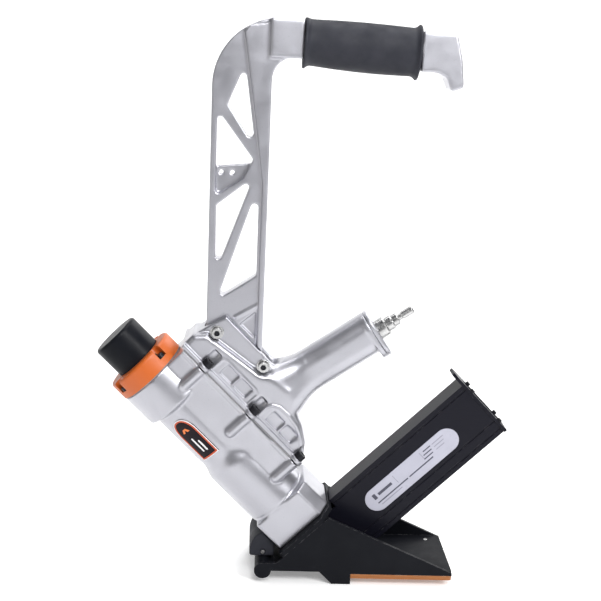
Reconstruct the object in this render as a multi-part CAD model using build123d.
from build123d import *

import math
import os

# Mallet-actuated pneumatic flooring nailer, in millimetres.
# +X points over the floor that is already laid, +Z up, Y across the tool.
# The origin is where the sole's underside meets the lip that hooks the board's edge.
# The tool axis leans 45 degrees and leaves the tool at the lip's lower corner.
# Tool coordinates: x runs along the magazine, z runs up the tool axis, y across.

# Shoe and sole
LIP_DROP = 6.0
LIP_LENGTH = 18.0
SOLE_LENGTH = 97.0
SOLE_THICKNESS = 4.5
FLOOR_THICKNESS = 4.0
SHOE_WIDTH = 80.0
SIDE_PLATE = 3.0
ARM_UNDERSIDE = 6.2
REST_RADIUS = 8.0
REST_X = -84.0
SHOE_TIP_HEIGHT = 7.0
LIP_RELIEF = 0.5
SOLE_SCREW_RADIUS = 2.0

# Body casting, heights measured up the tool axis
NOSE_PLATE_BOTTOM = 64.5
NOSE_PLATE_THICKNESS = 4.5
BLOCK_HEIGHT = 32.5
BLOCK_FRONT = 27.0
BLOCK_REAR = 35.0
FRONT_CORNER_RADIUS = 2.5
NECK_HEIGHT = 12.0
BLOCK_HALF_WIDTH = 31.0
BLOCK_CHAMFER = 10.0
LOWER_RADIUS = 32.0
WAIST_RADIUS = 28.0
HEAD_RADIUS = 34.5
FLARE_BOTTOM = 162.0
FLARE_TOP = 172.0
HEAD_BOTTOM = 240.0
BODY_TOP = 273.0
BODY_BORE = 25.0

# Cylinder, piston and driver
SLEEVE_BORE = 20.0
SLEEVE_WALL = 2.5
SLEEVE_TOP = 208.0
PISTON_HEIGHT = 14.0
RING_GROOVE_DEPTH = 2.8
RING_GROOVE_HEIGHT = 3.6
STROKE = 64.0
BLADE_WIDTH = 12.8
BLADE_THICKNESS = 1.6
RUNNING_CLEARANCE = 0.05

# Cap ring and strike cap
RING_RADIUS = 35.0
RING_HEIGHT = 18.0
GASKET = 1.0
CAP_RADIUS = 23.0
CAP_HEIGHT_ABOVE_RING = 32.0
CAP_WALL = 4.0
RING_SCREW_RADIUS = 2.0
RING_SCREW_CIRCLE = 31.2

# Flange joint between the body and the handle casting
JOINT_X = 42.5
FLANGE_THICKNESS = 4.0
CHAMBER_HALF_WIDTH = 27.0
CHAMBER_BOTTOM = 118.0
JOINT_SCREW_PITCH = 62.0
JOINT_SCREW_MIDDLE = 187.0
JOINT_SCREW_RADIUS = 3.0
BOSS_RADIUS = 5.0

# Handle casting and hand grip
BRACKET_RIGHT = 90.0
CHEEK_HALF_WIDTH = 15.0
GRIP_TILT = 10.2
GRIP_HEIGHT = 40.0
GRIP_WIDTH = 32.0
GRIP_WALL = 4.5
GRIP_LENGTH = 94.0
END_CAP_THICKNESS = 4.0

# Air inlet
BUSHING_RADIUS = 9.5
BUSHING_LENGTH = 9.5
PLUG_LENGTH = 28.7
PLUG_NOSE_RADIUS = 3.9

# Long handle
POST_LEFT = -143.8
POST_RIGHT = -91.5
BAR_BOTTOM = 480.0
BAR_TOP = 513.0
WEB_THICKNESS = 16.0
RIB_THICKNESS = 24.0
CORNER_RADIUS = 60.0
INNER_CORNER_RADIUS = 20.0
SLEEVE_GRIP_LENGTH = 102.0
SLEEVE_GRIP_RADIUS = 20.5
SLEEVE_GRIP_START = -65.0
HOOK_END = 75.0
HANDLE_BOLT_RADIUS = 3.0
BOLT_HEAD_RADIUS = 5.0
BOLT_HEAD_HEIGHT = 4.0
NUT_HALF_WIDTH = 5.0
NUT_HEIGHT = 5.2
WASHER_RADIUS = 6.4
WASHER = 1.2
ACCESSORY_HOLE_RADIUS = 2.0
ACCESSORY_HOLE_PITCH = 10.0

# Magazine
MAGAZINE_START = 8.0
MAGAZINE_END = 205.0
MAGAZINE_BOTTOM = 5.0
MAGAZINE_HEIGHT = 62.0
MAGAZINE_WIDTH = 25.0
MAGAZINE_WALL = 3.0
PUSHER_LENGTH = 34.0
LABEL_LENGTH = 112.0
LABEL_WIDTH = 24.0
BADGE_LENGTH = 47.0
BADGE_WIDTH = 20.5
BADGE_TURN = 21.0

# Worked-out heights and places
BLOCK_BOTTOM = NOSE_PLATE_BOTTOM + NOSE_PLATE_THICKNESS
BLOCK_TOP = BLOCK_BOTTOM + BLOCK_HEIGHT
RING_BOTTOM = BODY_TOP + GASKET
RING_TOP = RING_BOTTOM + RING_HEIGHT
CAP_TOP = RING_TOP + CAP_HEIGHT_ABOVE_RING
FLOOR_TOP = SOLE_THICKNESS + FLOOR_THICKNESS
HALF_SHOE = SHOE_WIDTH / 2
FLANGE_START = JOINT_X + GASKET
FLANGE_END = FLANGE_START + FLANGE_THICKNESS
SLEEVE_RADIUS = SLEEVE_BORE + SLEEVE_WALL
PISTON_BOTTOM = SLEEVE_TOP - 2 - PISTON_HEIGHT
GROOVE_RADIUS = SLEEVE_BORE - RING_GROOVE_DEPTH
GROOVE_BOTTOM = PISTON_BOTTOM + 5
GROOVE_TOP = GROOVE_BOTTOM + RING_GROOVE_HEIGHT
BUMPER_TOP = PISTON_BOTTOM - STROKE - 0.3
BORE_FLOOR = BUMPER_TOP - 24.7
SLOT_HALF_WIDTH = BLADE_WIDTH / 2 + 0.4
SLOT_HALF_THICKNESS = BLADE_THICKNESS / 2 + 0.4
JOINT_SCREW_HEIGHTS = [JOINT_SCREW_MIDDLE + k * JOINT_SCREW_PITCH for k in (-1, 0, 1)]

TOOL = Plane(origin=(0, 0, -LIP_DROP), x_dir=(1, 0, 1), z_dir=(-1, 0, 1))

LOW = (Align.MIN, Align.MIN, Align.MIN)
ON_BASE = (Align.CENTER, Align.CENTER, Align.MIN)

NODES = {}


def box(x0, x1, y0, y1, z0, z1):
    return Pos(x0, y0, z0) * Box(x1 - x0, y1 - y0, z1 - z0, align=LOW)


def rod(radius, z0, z1, x=0.0, y=0.0):
    return Pos(x, y, z0) * Cylinder(radius, z1 - z0, align=ON_BASE)


def rod_x(radius, x0, x1, y=0.0, z=0.0):
    return Pos(x0, y, z) * Rot(0, 90, 0) * Cylinder(radius, x1 - x0, align=ON_BASE)


def rod_y(radius, y0, y1, x=0.0, z=0.0):
    return Pos(x, y0, z) * Rot(-90, 0, 0) * Cylinder(radius, y1 - y0, align=ON_BASE)


def tube(outer, inner, z0, z1):
    return rod(outer, z0, z1) - rod(inner, z0 - 1, z1 + 1)


def side_face(points, radius=0.0):
    """A face in the XZ plane from corner points, with its corners rounded."""
    face = Polygon(*points, align=None)
    if radius:
        face = fillet(face.vertices(), radius)
    return face


def side_plate(points, y0, y1, radius=0.0):
    """A side outline in the XZ plane, thickened from y0 to y1."""
    return Pos(0, y1, 0) * extrude(Plane.XZ * side_face(points, radius), amount=y1 - y0, dir=(0, -1, 0))


def both_sides(points, half, radius=0.0):
    return side_plate(points, -half, half, radius)


def cut_block(front, rear, half_width, chamfer_size, z0, z1):
    """A block upright along z, with its two rear corners cut and its front ones eased."""
    solid = box(-front, rear, -half_width, half_width, z0, z1)
    corners = solid.edges().filter_by(Axis.Z).group_by(Axis.X)
    solid = chamfer(corners[-1], chamfer_size)
    corners = solid.edges().filter_by(Axis.Z).group_by(Axis.X)
    return fillet(corners[0], FRONT_CORNER_RADIUS)


def socket_screw(shank, length, head, head_height, socket):
    """A socket-head screw: the head's underside is at z = 0 and the shank points down."""
    solid = rod(head, 0, head_height) + rod(shank, -length, 0)
    solid = chamfer(solid.edges().group_by(Axis.Z)[-1], head_height * 0.1)
    hexagon = extrude(RegularPolygon(socket, 6), amount=head_height)
    return solid - Pos(0, 0, head_height * 0.45) * hexagon


def save(name, shape):
    """Writes one node: a single solid, or a group of separate solids."""
    solids = list(shape) if isinstance(shape, (list, tuple)) else [shape]
    found = [solid for item in solids for solid in item.solids()]
    NODES[name] = Compound(children=found) if len(found) > 1 else found[0]


def save_in_tool(name, shape):
    solids = shape if isinstance(shape, (list, tuple)) else [shape]
    save(name, [TOOL * item for item in solids])


# ---- Body casting -----------------------------------------------------------------------
def body_casting():
    block = cut_block(BLOCK_FRONT, BLOCK_REAR, BLOCK_HALF_WIDTH, BLOCK_CHAMFER, BLOCK_BOTTOM, BLOCK_TOP)
    profile = Polygon(
        (0, BLOCK_TOP - NECK_HEIGHT), (BLOCK_FRONT - 1, BLOCK_TOP - NECK_HEIGHT),
        (LOWER_RADIUS, BLOCK_TOP), (LOWER_RADIUS, FLARE_BOTTOM),
        (WAIST_RADIUS, FLARE_TOP), (WAIST_RADIUS, HEAD_BOTTOM - 3), (HEAD_RADIUS, HEAD_BOTTOM),
        (HEAD_RADIUS, BODY_TOP), (0, BODY_TOP), align=None)
    barrel = revolve(Plane.XZ * profile, Axis.Z)
    half = CHAMBER_HALF_WIDTH
    chamber = box(0, JOINT_X, -half, half, CHAMBER_BOTTOM, BODY_TOP)
    rim = box(JOINT_X - 3.5, JOINT_X, -half - 1.5, half + 1.5, CHAMBER_BOTTOM, BODY_TOP)
    solid = block + barrel + chamber + rim
    for height in JOINT_SCREW_HEIGHTS:
        for side in (-1, 1):
            solid += rod_x(BOSS_RADIUS, 19, JOINT_X, side * half, height)
            solid += Pos(19, side * half, height) * Sphere(BOSS_RADIUS)
    solid -= rod(BODY_BORE, BORE_FLOOR, BODY_TOP + 1)
    solid -= rod(28.6, BODY_TOP - 5, BODY_TOP + 1)
    solid -= rod(8, BLOCK_BOTTOM - 1, BORE_FLOOR + 1)
    solid -= box(12, JOINT_X + 1, -20, 20, CHAMBER_BOTTOM + 12, HEAD_BOTTOM + 15)
    for height in JOINT_SCREW_HEIGHTS:
        for side in (-1, 1):
            solid -= rod_x(JOINT_SCREW_RADIUS, 22, JOINT_X + 1, side * half, height)
    for x, y in ring_screw_places():
        solid -= rod(RING_SCREW_RADIUS, BODY_TOP - 16, BODY_TOP + 1, x, y)
    for x, y in NOSE_SCREW_PLACES:
        solid -= rod(3, BLOCK_BOTTOM - 1, BLOCK_BOTTOM + 16, x, y)
    return solid


def ring_screw_places():
    reach = RING_SCREW_CIRCLE * math.sqrt(0.5)
    return [(reach * a, reach * b) for a in (-1, 1) for b in (-1, 1)]


NOSE_SCREW_PLACES = [(a * 20.0, b * 22.0) for a in (-1, 1) for b in (-1, 1)]


# ---- Head: cap ring, strike cap and firing valve ------------------------------------------
FLANGE_CAVITY = CAP_RADIUS + 4
CAP_FLANGE_TOP = RING_TOP - 5.1


def cap_ring():
    solid = rod(RING_RADIUS, RING_BOTTOM, RING_TOP)
    solid = fillet(solid.edges().group_by(Axis.Z)[-1], 3)
    solid -= rod(CAP_RADIUS + RUNNING_CLEARANCE, RING_BOTTOM - 1, RING_TOP + 1)
    solid -= rod(FLANGE_CAVITY, RING_BOTTOM - 1, RING_TOP - 5)
    for x, y in ring_screw_places():
        angle = math.degrees(math.atan2(y, x))
        notch = box(0, 20, -4.3, 4.3, RING_BOTTOM + 7, RING_TOP + 1) + rod(4.3, RING_BOTTOM + 7, RING_TOP + 1)
        solid -= Rot(0, 0, angle) * Pos(RING_SCREW_CIRCLE, 0, 0) * notch
        solid -= rod(RING_SCREW_RADIUS, RING_BOTTOM - 1, RING_TOP, x, y)
    return solid


def cap_screws():
    screw = socket_screw(RING_SCREW_RADIUS, 20, 3.7, 4.2, 1.9)
    return [Pos(x, y, RING_BOTTOM + 7) * screw for x, y in ring_screw_places()]


def cap_gasket():
    solid = tube(HEAD_RADIUS - 0.5, FLANGE_CAVITY, BODY_TOP, RING_BOTTOM)
    for x, y in ring_screw_places():
        solid -= rod(RING_SCREW_RADIUS, BODY_TOP - 1, RING_BOTTOM + 1, x, y)
    return solid


def strike_cap():
    skirt_bottom = CAP_FLANGE_TOP - 3
    solid = rod(CAP_RADIUS, skirt_bottom, CAP_TOP)
    solid = fillet(solid.edges().group_by(Axis.Z)[-1], 3)
    solid += rod(FLANGE_CAVITY - 0.6, skirt_bottom, CAP_FLANGE_TOP)
    return solid - rod(CAP_RADIUS - CAP_WALL, skirt_bottom - 1, CAP_TOP - 6)


def coil_spring(radius, wire, z0, z1, turns):
    pitch = (z1 - z0 - 2 * wire) / turns
    path = Pos(0, 0, z0 + wire) * Helix(pitch=pitch, height=z1 - z0 - 2 * wire, radius=radius)
    start = Plane(origin=path @ 0, z_dir=path % 0)
    return sweep(start * Circle(wire), path=path, is_frenet=True)


HOUSING_BOTTOM = SLEEVE_TOP + 16
STEM_RADIUS = 5.0
STEM_GROOVE_RADIUS = STEM_RADIUS - 1.4
SKIRT_OUTER = BODY_BORE - 3
SKIRT_INNER = SKIRT_OUTER - 4.1
CAP_SPRING_WIRE = 1.25
CAP_SPRING_RADIUS = CAP_RADIUS - CAP_WALL - 5
VALVE_SPRING_WIRE = 0.9


def valve_housing():
    solid = rod(BODY_BORE - 0.03, HOUSING_BOTTOM, BODY_TOP) + rod(28.5, BODY_TOP - 5, BODY_TOP)
    solid -= rod(BODY_BORE - 4, BODY_TOP - 11, BODY_TOP + 1)
    solid -= tube(SKIRT_OUTER + 0.1, SKIRT_INNER - 0.1, HOUSING_BOTTOM - 1, HOUSING_BOTTOM + 20)
    return solid - rod(STEM_RADIUS + RUNNING_CLEARANCE, HOUSING_BOTTOM - 1, BODY_TOP)


def valve_stem():
    solid = rod(STEM_RADIUS, HOUSING_BOTTOM + 9, CAP_TOP - 6)
    return solid - tube(STEM_RADIUS + 1, STEM_GROOVE_RADIUS, BODY_TOP - 25, BODY_TOP - 22.4)


def head_valve():
    disc = rod(BODY_BORE - RUNNING_CLEARANCE, SLEEVE_TOP + 0.1, SLEEVE_TOP + 8)
    skirt = tube(SKIRT_OUTER, SKIRT_INNER, SLEEVE_TOP + 8, HOUSING_BOTTOM + 8)
    return disc + skirt - rod(7, SLEEVE_TOP, SLEEVE_TOP + 9)


# ---- Cylinder, piston and driver -----------------------------------------------------------
def cylinder_sleeve():
    solid = tube(SLEEVE_RADIUS, SLEEVE_BORE, BORE_FLOOR, SLEEVE_TOP)
    foot = tube(BODY_BORE - 0.03, SLEEVE_BORE, BORE_FLOOR, BORE_FLOOR + 9)
    collar = tube(BODY_BORE - 0.03, SLEEVE_BORE, SLEEVE_TOP - 12, SLEEVE_TOP - 4)
    solid += foot + collar
    for height in (BORE_FLOOR + 4.5, SLEEVE_TOP - 8):
        solid -= tube(BODY_BORE + 1, BODY_BORE - 1.6, height - 1.2, height + 1.2)
    for k in range(8):
        solid -= Rot(0, 0, 45 * k + 22.5) * rod_x(1.8, SLEEVE_BORE - 1, SLEEVE_RADIUS + 1, 0, BUMPER_TOP + 8)
    return solid


def sleeve_seals():
    outer = BODY_BORE - 0.03
    return [tube(outer, BODY_BORE - 1.6, height - 1.2, height + 1.2)
            for height in (BORE_FLOOR + 4.5, SLEEVE_TOP - 8)]


def piston():
    top = PISTON_BOTTOM + PISTON_HEIGHT
    solid = rod(SLEEVE_BORE - RUNNING_CLEARANCE, PISTON_BOTTOM, top)
    solid -= tube(SLEEVE_BORE + 1, GROOVE_RADIUS, GROOVE_BOTTOM, GROOVE_TOP)
    solid -= rod(SLEEVE_BORE - 8, top - 4, top + 1)
    half_width = BLADE_WIDTH / 2
    half_thickness = BLADE_THICKNESS / 2
    solid -= box(-half_thickness, half_thickness, -half_width, half_width, PISTON_BOTTOM - 1, top - 5)
    return solid - rod_x(1.5, -SLEEVE_BORE, SLEEVE_BORE, 0, PISTON_BOTTOM + 2.6)


def driver_blade():
    half_width = BLADE_WIDTH / 2
    half_thickness = BLADE_THICKNESS / 2
    tip = STROKE
    solid = box(-half_thickness, half_thickness, -half_width, half_width, tip, PISTON_BOTTOM + 9)
    return solid - rod_x(1.5, -2, 2, 0, PISTON_BOTTOM + 2.6)


# ---- Handle casting ------------------------------------------------------------------------
HULL_HALF_WIDTH = 24.0
CASTING_TOP = BODY_TOP + 4
ROOT_SECTIONS = [
    (26, GRIP_HEIGHT, GRIP_WIDTH), (15, GRIP_HEIGHT + 2, GRIP_WIDTH + 2.5),
    (5, GRIP_HEIGHT + 9, GRIP_WIDTH + 8), (-6, GRIP_HEIGHT + 20, 2 * HULL_HALF_WIDTH - 1)]
HANDLE_FOOT = [(POST_LEFT, 224.5), (POST_RIGHT, 187.0)]
HANDLE_BOLTS = [(-133.4, 232.0), (-89.9, 200.8)]


def to_tool(x, z):
    """Turns a point of the XZ plane into tool coordinates."""
    share = math.sqrt(0.5)
    return ((x + z + LIP_DROP) * share, (z + LIP_DROP - x) * share)


def grip_section(height, width, x0, x1, rise=0.0):
    face = RectangleRounded(width, height, min(width, height) * 0.46)
    return Pos(x0, 0, rise) * extrude(Plane.YZ * face, amount=x1 - x0)


def grip_root():
    """The hand grip swelling out, section by section, to meet the housing."""
    faces = []
    for x, height, width in ROOT_SECTIONS:
        face = RectangleRounded(width, height, width * 0.42)
        faces.append(Pos(x, 0, 0) * (Plane.YZ * face))
    return loft(faces)


def in_grip(shape):
    """Moves a shape from grip coordinates, x along the hand grip, to tool coordinates."""
    return Location((86, 0, 178.4), (0, GRIP_TILT, 0)) * shape


def handle_casting():
    bottom = CHAMBER_BOTTOM
    flange = box(FLANGE_START, FLANGE_END, -CHAMBER_HALF_WIDTH - 1.5, CHAMBER_HALF_WIDTH + 1.5,
                 bottom, CASTING_TOP)
    hull = both_sides([
        (FLANGE_START, CASTING_TOP), (58, CASTING_TOP), (68, 268), (76, 213), (84, 200),
        (88, 176), (76, 158), (70, 142), (62, 129), (52, bottom + 3), (FLANGE_START, bottom + 3)],
        HULL_HALF_WIDTH)
    hull = fillet(hull.edges().filter_by(Axis.Y, reverse=True).group_by(Axis.Y)[0], 5)
    hull = fillet(hull.edges().filter_by(Axis.Y, reverse=True).group_by(Axis.Y)[-1], 5)
    cheeks = both_sides([
        (56, CASTING_TOP - 1), (74, CASTING_TOP - 5), (BRACKET_RIGHT, 267),
        (BRACKET_RIGHT, 190), (70, 190)], CHEEK_HALF_WIDTH)
    grip = in_grip(grip_section(GRIP_HEIGHT, GRIP_WIDTH, -22, GRIP_LENGTH))
    flare = in_grip(grip_section(GRIP_HEIGHT + 8, GRIP_WIDTH + 2, GRIP_LENGTH - 5, GRIP_LENGTH, -4))
    solid = flange + hull + cheeks + grip + flare + in_grip(grip_root())
    solid -= box(FLANGE_START - 1, 60, -19, 19, bottom + 12, HEAD_BOTTOM + 15)
    inner_height = GRIP_HEIGHT - 2 * GRIP_WALL
    inner_width = GRIP_WIDTH - 2 * GRIP_WALL
    solid -= in_grip(grip_section(inner_height, inner_width, -34, GRIP_LENGTH + 1))
    solid -= handle_slot()
    for x, z in HANDLE_BOLTS:
        place = to_tool(x, z)
        solid -= rod_y(HANDLE_BOLT_RADIUS, -40, 40, *place)
        for side in (-1, 1):
            end = side * (CHEEK_HALF_WIDTH + 12)
            start = side * CHEEK_HALF_WIDTH
            solid -= rod_y(WASHER_RADIUS + 0.8, min(start, end), max(start, end), *place)
    for height in JOINT_SCREW_HEIGHTS:
        for side in (-1, 1):
            y = side * CHAMBER_HALF_WIDTH
            solid += rod_x(6, FLANGE_START, FLANGE_END, y, height)
            solid -= rod_x(JOINT_SCREW_RADIUS, FLANGE_START - 1, FLANGE_END + 1, y, height)
            solid -= rod_x(6.2, FLANGE_END, FLANGE_END + 16, y, height)
    for middle in (JOINT_SCREW_MIDDLE + JOINT_SCREW_PITCH / 2, JOINT_SCREW_MIDDLE - JOINT_SCREW_PITCH / 2):
        for step in (-1, 1):
            for side in (-1, 1):
                window = box(50.5, 62, -3.8, 3.8, middle + step * 9 - 7.8, middle + step * 9 + 7.8)
                solid -= Pos(0, side * HULL_HALF_WIDTH, 0) * window
    return solid


def handle_slot():
    """The slot between the bracket's cheeks that the long handle's foot drops into."""
    (x0, z0), (x1, z1) = HANDLE_FOOT
    slope = (z1 - z0) / (x1 - x0)
    points = [to_tool(x0 - 1, z0 - slope - 0.3), to_tool(x1 + 1, z1 + slope - 0.3),
              (120, 200), (120, 290), to_tool(x0 - 1, 260)]
    return both_sides(points, WEB_THICKNESS / 2 + 0.05)


def flange_gasket():
    half = CHAMBER_HALF_WIDTH + 1.5
    solid = box(JOINT_X, FLANGE_START, -half, half, CHAMBER_BOTTOM, BODY_TOP)
    solid -= box(JOINT_X - 1, FLANGE_START + 1, -20, 20, CHAMBER_BOTTOM + 12, HEAD_BOTTOM + 15)
    for height in JOINT_SCREW_HEIGHTS:
        for side in (-1, 1):
            y = side * CHAMBER_HALF_WIDTH
            solid -= rod_x(JOINT_SCREW_RADIUS, JOINT_X - 1, FLANGE_START + 1, y, height)
    return solid


def flange_screws():
    screw = Rot(0, 90, 0) * socket_screw(JOINT_SCREW_RADIUS, 24, 5, 6, 2.9)
    return [Pos(FLANGE_END, side * CHAMBER_HALF_WIDTH, height) * screw
            for height in JOINT_SCREW_HEIGHTS for side in (-1, 1)]


INLET_RISE = -2.5
CAP_END = GRIP_LENGTH + END_CAP_THICKNESS
END_SCREW_PLACES = [(-9.0, 11.0), (9.0, 11.0), (0.0, -19.0)]


def end_cap():
    solid = grip_section(GRIP_HEIGHT + 8, GRIP_WIDTH + 2, GRIP_LENGTH, CAP_END, -4)
    solid = fillet(solid.edges().group_by(Axis.X)[-1], 1.5)
    return solid - rod_x(7, GRIP_LENGTH - 1, CAP_END + 1, 0, INLET_RISE)


def air_bushing():
    outer = rod_x(BUSHING_RADIUS, CAP_END, CAP_END + BUSHING_LENGTH, 0, INLET_RISE)
    outer = chamfer(outer.edges().group_by(Axis.X)[-1], 1)
    solid = outer + rod_x(7, GRIP_LENGTH - 4, CAP_END, 0, INLET_RISE)
    return solid - rod_x(5, GRIP_LENGTH - 5, CAP_END + BUSHING_LENGTH + 1, 0, INLET_RISE)


def air_plug():
    start = CAP_END + BUSHING_LENGTH
    nose = PLUG_NOSE_RADIUS
    profile = Polygon(
        (-8, 0), (-8, 5), (0, 5), (0, 7), (6, 7), (6.8, 6), (12, 6), (13, nose - 0.9), (16, nose - 0.9),
        (17, nose), (PLUG_LENGTH - 1, nose), (PLUG_LENGTH, nose - 1), (PLUG_LENGTH, 0), align=None)
    solid = revolve(Plane.XZ * profile, Axis.X)
    solid -= rod_x(2.4, -9, PLUG_LENGTH + 1)
    return Pos(start, 0, INLET_RISE) * solid


def inlet_filter():
    middle = GRIP_LENGTH - 4
    solid = rod_x(7, middle - 30, middle, 0, INLET_RISE)
    return solid - rod_x(6, middle - 28.5, middle + 1, 0, INLET_RISE)


# ---- Long handle ---------------------------------------------------------------------------
TRUSS_HOLES = [
    [(-115, 473), (-129.5, 438), (-104, 400)],
    [(-138.5, 433), (-138.5, 356), (-114, 373), (-105.5, 390)],
    [(-137.5, 348), (-137, 285), (-105, 374)],
    [(-99.5, 350), (-105.5, 351), (-134.5, 261), (-99.5, 284.5)],
]
ACCESSORY_X = -128.7
ACCESSORY_Z = 377.7


def corners_at(face, x, z):
    """The corners of a side face that lie at one place."""
    return [v for v in face.vertices() if abs(v.X - x) < 0.1 and abs(v.Y - z) < 0.1]


def long_handle():
    half_web = WEB_THICKNESS / 2
    half_rib = RIB_THICKNESS / 2
    (x0, z0), (x1, z1) = HANDLE_FOOT
    web = side_face([
        (x0, z0), (x1, z1), (POST_RIGHT, BAR_BOTTOM), (SLEEVE_GRIP_START, BAR_BOTTOM),
        (SLEEVE_GRIP_START, BAR_TOP), (POST_LEFT, BAR_TOP)])
    web = fillet(corners_at(web, POST_LEFT, BAR_TOP), CORNER_RADIUS)
    web = fillet(corners_at(web, POST_RIGHT, BAR_BOTTOM), INNER_CORNER_RADIUS)
    for hole in TRUSS_HOLES:
        web -= side_face(hole, 3)
    solid = Pos(0, half_web, 0) * extrude(Plane.XZ * web, amount=WEB_THICKNESS, dir=(0, -1, 0))
    rib = side_face([
        (POST_RIGHT, 200), (POST_RIGHT, BAR_BOTTOM), (SLEEVE_GRIP_START, BAR_BOTTOM),
        (SLEEVE_GRIP_START, BAR_TOP), (-112, BAR_TOP - 7),
        (-116, 500), (-104, 425), (-96.5, 370), (-96.5, 200)])
    rib = fillet(corners_at(rib, POST_RIGHT, BAR_BOTTOM), INNER_CORNER_RADIUS)
    rib = Pos(0, half_rib, 0) * extrude(Plane.XZ * rib, amount=RIB_THICKNESS, dir=(0, -1, 0))
    solid += rib - TOOL * box(-50, BRACKET_RIGHT + 0.3, -50, 50, 100, 300)
    panel = side_plate([(-139, 383), (-139, 355), (-113, 372), (-104.5, 386.5)], -2, 2)
    solid += panel
    for side in (-1, 1):
        recess = side_plate([(-98.5, 251), (-113, 238.5), (-98.5, 225)], -3, 3)
        solid -= Pos(0, side * half_web, 0) * recess
    for k in (-0.5, 0.5):
        x = ACCESSORY_X + k * ACCESSORY_HOLE_PITCH
        solid -= rod_y(ACCESSORY_HOLE_RADIUS, -10, 10, x, ACCESSORY_Z)
    for x, z in HANDLE_BOLTS:
        solid -= rod_y(HANDLE_BOLT_RADIUS, -20, 20, x, z)
    core = rod_x(13, SLEEVE_GRIP_START - 1, SLEEVE_GRIP_START + SLEEVE_GRIP_LENGTH + 2, 0, GRIP_BAR_Z)
    return solid + core + hook_end()


GRIP_BAR_Z = (BAR_BOTTOM + BAR_TOP) / 2 - 4


def hook_end():
    """The silver end beyond the rubber sleeve, with its downward hook."""
    start = SLEEVE_GRIP_START + SLEEVE_GRIP_LENGTH + 1
    outline = [
        (start, GRIP_BAR_Z + 15), (HOOK_END - 7, GRIP_BAR_Z + 14), (HOOK_END - 1, GRIP_BAR_Z - 8),
        (HOOK_END + 2, GRIP_BAR_Z - 32), (HOOK_END - 9, GRIP_BAR_Z - 36), (HOOK_END - 14, GRIP_BAR_Z - 24),
        (HOOK_END - 22, GRIP_BAR_Z - 20), (start, GRIP_BAR_Z - 20)]
    return side_plate(outline, -14, 14, 2)


def grip_sleeve():
    start = SLEEVE_GRIP_START + 0.3
    end = SLEEVE_GRIP_START + SLEEVE_GRIP_LENGTH
    body = rod_x(SLEEVE_GRIP_RADIUS, start, end)
    for edge in (start, end - 4):
        body += rod_x(SLEEVE_GRIP_RADIUS + 2, edge, edge + 4)
    return Pos(0, 0, GRIP_BAR_Z) * (body - rod_x(13, start - 1, end + 1))


def handle_bolts():
    length = 2 * CHEEK_HALF_WIDTH + 2 * WASHER + NUT_HEIGHT
    screw = Rot(90, 0, 0) * socket_screw(
        HANDLE_BOLT_RADIUS, length, BOLT_HEAD_RADIUS, BOLT_HEAD_HEIGHT, 2.9)
    return [Pos(x, -CHEEK_HALF_WIDTH - WASHER, z) * screw for x, z in HANDLE_BOLTS]


def handle_washers():
    pieces = []
    for x, z in HANDLE_BOLTS:
        for start in (-CHEEK_HALF_WIDTH - WASHER, CHEEK_HALF_WIDTH):
            solid = rod_y(WASHER_RADIUS, start, start + WASHER, x, z)
            pieces.append(solid - rod_y(HANDLE_BOLT_RADIUS, start - 1, start + WASHER + 1, x, z))
    return pieces


def handle_nuts():
    pieces = []
    start = CHEEK_HALF_WIDTH + WASHER
    for x, z in HANDLE_BOLTS:
        nut = Rot(-90, 0, 0) * extrude(RegularPolygon(NUT_HALF_WIDTH, 6, major_radius=False), amount=NUT_HEIGHT)
        nut = Pos(x, start, z) * nut
        pieces.append(nut - rod_y(HANDLE_BOLT_RADIUS, start - 1, start + NUT_HEIGHT + 1, x, z))
    return pieces


# ---- Nose ----------------------------------------------------------------------------------
def nose_plate():
    solid = cut_block(BLOCK_FRONT + 1, BLOCK_REAR + 1, HALF_SHOE, 12, NOSE_PLATE_BOTTOM, BLOCK_BOTTOM)
    solid -= rod(8, NOSE_PLATE_BOTTOM - 1, BLOCK_BOTTOM + 1)
    for x, y in NOSE_SCREW_PLACES:
        solid -= rod(3, NOSE_PLATE_BOTTOM - 1, BLOCK_BOTTOM + 1, x, y)
    return solid


TAB_THICKNESS = 4.0


def nose_screws():
    screw = Rot(180, 0, 0) * socket_screw(3, 22, 5, 6, 2.9)
    return [Pos(x, y, NOSE_PLATE_BOTTOM - TAB_THICKNESS) * screw for x, y in NOSE_SCREW_PLACES]


GUIDE_HALF_WIDTH = 12.5
GUIDE_BACK = 9.0
GUIDE_SCREW_HEIGHTS = (40.0, 55.0)
GUIDE_SCREW_Y = 10.8


def above_floor(shape, height=FLOOR_TOP):
    """Trims a shape in tool coordinates to what lies above a level plane."""
    level = TOOL.location.inverse() * box(-200, 300, -100, 100, -100, height)
    return shape - level


def guide_holes(shape):
    for height in GUIDE_SCREW_HEIGHTS:
        for side in (-1, 1):
            shape -= rod_x(1.5, -GUIDE_BACK - 1, 20, side * GUIDE_SCREW_Y, height)
    return shape


def guide_rear():
    solid = box(-GUIDE_BACK, SLOT_HALF_THICKNESS, -GUIDE_HALF_WIDTH, GUIDE_HALF_WIDTH, 0, NOSE_PLATE_BOTTOM)
    solid -= box(-SLOT_HALF_THICKNESS, 5, -SLOT_HALF_WIDTH, SLOT_HALF_WIDTH, -1, NOSE_PLATE_BOTTOM + 1)
    return guide_holes(above_floor(solid))


def guide_front():
    solid = box(SLOT_HALF_THICKNESS, MAGAZINE_START, -GUIDE_HALF_WIDTH, GUIDE_HALF_WIDTH, 0, NOSE_PLATE_BOTTOM)
    solid -= box(0, MAGAZINE_START + 1, -SLOT_HALF_WIDTH - 0.5, SLOT_HALF_WIDTH + 0.5, -1, 58)
    return guide_holes(above_floor(solid))


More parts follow.
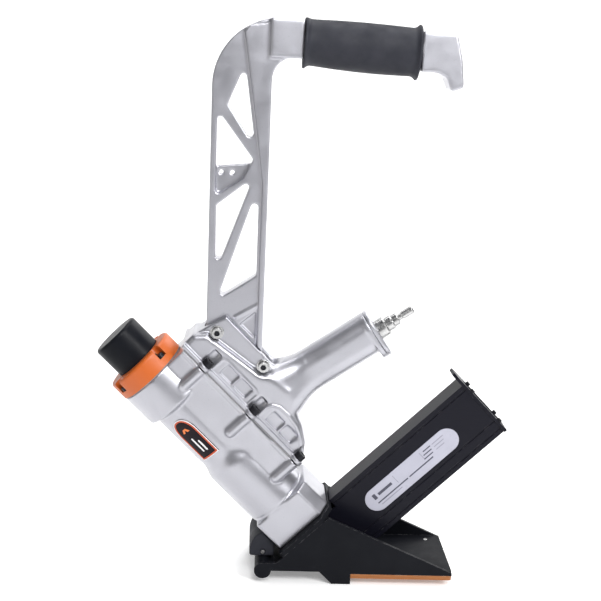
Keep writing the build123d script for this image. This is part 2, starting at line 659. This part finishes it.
def guide_screws():
    screw = Rot(0, -90, 0) * socket_screw(1.5, GUIDE_BACK + MAGAZINE_START + 8, 2.8, 3, 1.3)
    return [Pos(-GUIDE_BACK, side * GUIDE_SCREW_Y, height) * screw
            for height in GUIDE_SCREW_HEIGHTS for side in (-1, 1)]


# ---- Shoe ----------------------------------------------------------------------------------
def shoe():
    half = HALF_SHOE
    apex = TOOL.from_local_coords((31, 0, NOSE_PLATE_BOTTOM))
    heel = TOOL.from_local_coords((-36, 0, NOSE_PLATE_BOTTOM))
    lip_end = -LIP_LENGTH
    ramp = lip_end - ARM_UNDERSIDE - LIP_DROP
    outline = [
        (REST_X, ARM_UNDERSIDE), (ramp, ARM_UNDERSIDE), (lip_end, -LIP_DROP), (0, -LIP_DROP),
        (0, 0), (-LIP_RELIEF, 0), (-LIP_RELIEF, SOLE_THICKNESS), (SOLE_LENGTH, SOLE_THICKNESS),
        (SOLE_LENGTH, SHOE_TIP_HEIGHT),
        (apex.X, apex.Z), (heel.X, heel.Z), (heel.X, REST_RADIUS + ARM_UNDERSIDE),
        (REST_X, REST_RADIUS + ARM_UNDERSIDE)]
    solid = side_plate(outline, -half, -half + SIDE_PLATE) + side_plate(outline, half - SIDE_PLATE, half)
    for y0 in (-half, half - SIDE_PLATE):
        solid += rod_y(REST_RADIUS, y0, y0 + SIDE_PLATE, REST_X, ARM_UNDERSIDE)
    inside = half - SIDE_PLATE
    solid += box(ramp, SOLE_LENGTH, -inside, inside, SOLE_THICKNESS, FLOOR_TOP)
    front_top = ARM_UNDERSIDE + FLOOR_THICKNESS
    solid += box(REST_X + 11, ramp, -inside, inside, ARM_UNDERSIDE, front_top)
    solid += side_plate([
        (ramp, ARM_UNDERSIDE), (lip_end, -LIP_DROP), (0, -LIP_DROP), (0, 0), (-LIP_RELIEF, 0),
        (-LIP_RELIEF, SOLE_THICKNESS), (0, SOLE_THICKNESS), (0, FLOOR_TOP), (ramp, FLOOR_TOP)],
        -inside, inside)
    tabs = []
    for x, y in NOSE_SCREW_PLACES:
        side = 1 if y > 0 else -1
        inner = side * 15.0
        outer = side * inside
        tab = box(x - 8, x + 8, min(inner, outer), max(inner, outer),
                  NOSE_PLATE_BOTTOM - TAB_THICKNESS, NOSE_PLATE_BOTTOM)
        tabs.append(tab - rod(3, NOSE_PLATE_BOTTOM - 10, NOSE_PLATE_BOTTOM + 1, x, y))
    for tab in tabs:
        solid += TOOL * tab
    slot = box(-SLOT_HALF_THICKNESS, SLOT_HALF_THICKNESS, -SLOT_HALF_WIDTH, SLOT_HALF_WIDTH, -12, 40)
    feed = box(0, 22, -SLOT_HALF_WIDTH - 0.5, SLOT_HALF_WIDTH + 0.5, 8, 60)
    solid -= TOOL * (slot + feed)
    for x, y in SOLE_SCREW_PLACES:
        solid -= rod(SOLE_SCREW_RADIUS, SOLE_THICKNESS - 1, FLOOR_TOP + 1, x, y)
    return solid


SOLE_SCREW_PLACES = [(x, y) for x in (18.0, 82.0) for y in (-28.0, 28.0)]


def sole_plate():
    solid = box(0, SOLE_LENGTH, -HALF_SHOE, HALF_SHOE, 0, SOLE_THICKNESS)
    solid = chamfer(solid.edges().group_by(Axis.X)[-1].filter_by(Axis.Z), 1.5)
    for x, y in SOLE_SCREW_PLACES:
        solid -= rod(SOLE_SCREW_RADIUS, -1, SOLE_THICKNESS + 1, x, y)
        solid -= Pos(x, y, 0) * Cone(4.4, SOLE_SCREW_RADIUS, 2.4, align=ON_BASE)
    return solid


def sole_screws():
    pieces = []
    for x, y in SOLE_SCREW_PLACES:
        head = Pos(0, 0, 0.2) * Cone(4.2, SOLE_SCREW_RADIUS, 2.2, align=ON_BASE)
        screw = head + rod(SOLE_SCREW_RADIUS, 2.3, FLOOR_TOP)
        pieces.append(Pos(x, y, 0) * (screw - extrude(RegularPolygon(1.5, 6), amount=1.6)))
    return pieces


TONGUE_TOP = 24.0
PIN_RADIUS = 1.8
PIN_HEIGHT = 18.5


def front_rest():
    inside = HALF_SHOE - SIDE_PLATE
    bar = rod_y(REST_RADIUS - 0.5, -inside, inside, REST_X, ARM_UNDERSIDE)
    bar += box(REST_X, REST_X + 11, -inside, inside, ARM_UNDERSIDE, ARM_UNDERSIDE + FLOOR_THICKNESS)
    tongue = box(REST_X - 4, REST_X + 4, -6, 6, ARM_UNDERSIDE, TONGUE_TOP)
    return bar + tongue - rod_y(PIN_RADIUS, -7, 7, REST_X, PIN_HEIGHT)


def bumper_outline():
    """The front bumper's side, curved in front and cut to lie along the body's front."""
    foot = REST_RADIUS + ARM_UNDERSIDE
    offset = (BLOCK_FRONT + 1.3) * math.sqrt(2) + LIP_DROP
    right = REST_X + 10.7
    tip_x = REST_X - 1.0
    tip = (tip_x, -tip_x - offset)
    with BuildSketch() as sketch:
        with BuildLine():
            Line((REST_X - 12.5, foot), (right, foot))
            Line((right, foot), (right, -right - offset))
            Line((right, -right - offset), tip)
            ThreePointArc(tip, (REST_X - 11.5, foot + 13), (REST_X - 12.5, foot))
        make_face()
    return sketch.sketch


def front_bumper():
    half = 26.0
    solid = Pos(0, half, 0) * extrude(Plane.XZ * bumper_outline(), amount=2 * half, dir=(0, -1, 0))
    solid -= box(REST_X - 4, REST_X + 4, -6, 6, 0, TONGUE_TOP)
    return solid - rod_y(PIN_RADIUS, -half - 1, half + 1, REST_X, PIN_HEIGHT)


def bumper_pin():
    return rod_y(PIN_RADIUS, -26.6, 26.6, REST_X, PIN_HEIGHT)


# ---- Magazine ------------------------------------------------------------------------------
MAGAZINE_TOP = MAGAZINE_BOTTOM + MAGAZINE_HEIGHT
HALF_MAGAZINE = MAGAZINE_WIDTH / 2
CHANNEL_HALF = HALF_MAGAZINE - MAGAZINE_WALL
CHANNEL_BOTTOM = MAGAZINE_BOTTOM + MAGAZINE_WALL
CHANNEL_TOP = MAGAZINE_TOP - MAGAZINE_WALL
FULL_START = 36.5


def magazine():
    half = HALF_MAGAZINE
    solid = box(MAGAZINE_START, MAGAZINE_END, -half, half, MAGAZINE_BOTTOM, MAGAZINE_TOP)
    for height in (MAGAZINE_TOP - 5, MAGAZINE_BOTTOM + 14.5, MAGAZINE_BOTTOM + 5):
        for side in (-1, 1):
            groove = box(0, MAGAZINE_END + 1, -0.8, 0.8, height - 0.9, height + 0.9)
            solid -= Pos(0, side * half, 0) * groove
    solid -= box(MAGAZINE_START - 1, FULL_START, -half - 1, half + 1, 58, MAGAZINE_TOP + 1)
    solid -= box(MAGAZINE_START - 1, MAGAZINE_END + 1, -CHANNEL_HALF, CHANNEL_HALF, CHANNEL_BOTTOM, CHANNEL_TOP)
    solid = above_floor(solid, FLOOR_TOP + 0.2)
    for height in GUIDE_SCREW_HEIGHTS:
        for side in (-1, 1):
            solid -= rod_x(1.5, 0, MAGAZINE_START + 9, side * GUIDE_SCREW_Y, height)
    for height in END_SCREW_HEIGHTS:
        for side in (-1, 1):
            solid -= rod_x(1.25, MAGAZINE_END - 12, MAGAZINE_END + 1, side * END_SCREW_Y, height)
    return solid


END_SCREW_HEIGHTS = (MAGAZINE_BOTTOM + 11.0, MAGAZINE_TOP - 11.0)
END_SCREW_Y = HALF_MAGAZINE - MAGAZINE_WALL / 2
END_PLATE = 3.0


def magazine_end():
    half = HALF_MAGAZINE + 0.5
    solid = box(MAGAZINE_END, MAGAZINE_END + END_PLATE, -half, half, MAGAZINE_BOTTOM - 1, MAGAZINE_TOP + 13)
    solid = chamfer(solid.edges().group_by(Axis.Z)[-1].filter_by(Axis.X), 5)
    solid -= box(MAGAZINE_END - 1, MAGAZINE_END + END_PLATE + 1, -CHANNEL_HALF + 1, CHANNEL_HALF - 1,
                 CHANNEL_BOTTOM, CHANNEL_TOP)
    for height in END_SCREW_HEIGHTS:
        for side in (-1, 1):
            solid -= rod_x(1.25, MAGAZINE_END - 1, MAGAZINE_END + END_PLATE + 1, side * END_SCREW_Y, height)
    return solid


def end_screws():
    screw = Rot(0, 90, 0) * socket_screw(1.25, END_PLATE + 9, 2.3, 2.4, 1.1)
    return [Pos(MAGAZINE_END + END_PLATE, side * END_SCREW_Y, height) * screw
            for height in END_SCREW_HEIGHTS for side in (-1, 1)]


PUSHER_START = FULL_START + 2


def pusher():
    half = CHANNEL_HALF - 0.3
    bottom = CHANNEL_BOTTOM + 0.3
    end = PUSHER_START + PUSHER_LENGTH
    solid = box(PUSHER_START, end, -half, half, bottom, bottom + 40)
    solid -= box(PUSHER_START + 8, end + 1, -half + 2, half - 2, bottom + 6, bottom + 41)
    return chamfer(solid.edges().group_by(Axis.X)[0].filter_by(Axis.Y), 1)


def spring_reel():
    """The coiled strip spring that pulls the pusher forwards, lying in the pusher's pocket."""
    radius = 6.0
    floor = CHANNEL_BOTTOM + 0.3 + 6
    half = CHANNEL_HALF - 3
    return rod_y(radius, -half, half, PUSHER_START + 8 + radius + 0.1, floor + radius)


def magazine_label():
    face = SlotOverall(LABEL_LENGTH, LABEL_WIDTH)
    slab = extrude(Plane.XZ * face, amount=0.4, dir=(0, -1, 0))
    return Pos(115, -HALF_MAGAZINE, MAGAZINE_BOTTOM + 31) * slab


# ---- Badge ---------------------------------------------------------------------------------
def badge_outline():
    half = BADGE_WIDTH / 2
    end = BADGE_LENGTH / 2
    with BuildSketch() as sketch:
        with BuildLine():
            Line((half, -end), (-half, -end))
            Line((-half, -end), (-half, 8))
            ThreePointArc((-half, 8), (-half * 0.7, 18), (0, end))
            ThreePointArc((0, end), (half * 0.7, 18), (half, 8))
            Line((half, 8), (half, -end))
        make_face()
    return sketch.sketch


def badge():
    """A shield wrapped onto the waist, turned towards the front of the tool's left side."""
    block = extrude(Plane.XZ * badge_outline(), amount=60, dir=(0, -1, 0))
    shell = tube(WAIST_RADIUS + 1.0, WAIST_RADIUS, FLARE_TOP, HEAD_BOTTOM - 3)
    return Rot(0, 0, -BADGE_TURN) * ((Pos(0, 0, 205) * block) & shell)


# ---- Build ---------------------------------------------------------------------------------
save_in_tool("body_casting", body_casting())
save_in_tool("cap_ring", cap_ring())
save_in_tool("cap_screws", cap_screws())
save_in_tool("cap_gasket", cap_gasket())
save_in_tool("strike_cap", strike_cap())
save_in_tool("strike_spring", coil_spring(CAP_SPRING_RADIUS, CAP_SPRING_WIRE, BODY_TOP - 11, CAP_TOP - 6, 8))
save_in_tool("valve_housing", valve_housing())
save_in_tool("valve_stem", valve_stem())
save_in_tool("stem_seal", tube(STEM_RADIUS, STEM_GROOVE_RADIUS, BODY_TOP - 25, BODY_TOP - 22.4))
save_in_tool("head_valve", head_valve())
valve_spring_radius = (SKIRT_OUTER + SKIRT_INNER) / 2
save_in_tool("head_valve_spring", coil_spring(
    valve_spring_radius, VALVE_SPRING_WIRE, HOUSING_BOTTOM + 8, HOUSING_BOTTOM + 20, 3))
save_in_tool("cylinder_sleeve", cylinder_sleeve())
save_in_tool("sleeve_seals", sleeve_seals())
save_in_tool("piston", piston())
save_in_tool("piston_ring", tube(SLEEVE_BORE - RUNNING_CLEARANCE, GROOVE_RADIUS, GROOVE_BOTTOM, GROOVE_TOP))
save_in_tool("driver_blade", driver_blade())
save_in_tool("blade_pin", rod_x(1.5, -SLEEVE_BORE + 1, SLEEVE_BORE - 1, 0, PISTON_BOTTOM + 2.6))
save_in_tool("piston_bumper", tube(SLEEVE_BORE - 0.05, 8, BORE_FLOOR, BUMPER_TOP))
save_in_tool("handle_casting", handle_casting())
save_in_tool("flange_gasket", flange_gasket())
save_in_tool("flange_screws", flange_screws())
save_in_tool("end_cap", in_grip(end_cap()))
save_in_tool("air_bushing", in_grip(air_bushing()))
save_in_tool("air_plug", in_grip(air_plug()))
save_in_tool("inlet_filter", in_grip(inlet_filter()))
save("long_handle", long_handle())
save("grip_sleeve", grip_sleeve())
save("handle_bolts", handle_bolts())
save("handle_washers", handle_washers())
save("handle_nuts", handle_nuts())
save_in_tool("nose_plate", nose_plate())
save_in_tool("nose_screws", nose_screws())
save_in_tool("guide_rear", guide_rear())
save_in_tool("guide_front", guide_front())
save_in_tool("guide_screws", guide_screws())
save("shoe", shoe())
save("sole_plate", sole_plate())
save("sole_screws", sole_screws())
save("front_rest", front_rest())
save("front_bumper", front_bumper())
save("bumper_pin", bumper_pin())
save_in_tool("magazine", magazine())
save_in_tool("magazine_end", magazine_end())
save_in_tool("end_screws", end_screws())
save_in_tool("pusher", pusher())
save_in_tool("spring_reel", spring_reel())
save_in_tool("magazine_label", magazine_label())
save_in_tool("badge", badge())

os.makedirs("parts", exist_ok=True)
for name, shape in NODES.items():
    export_step(shape, f"parts/{name}.step")
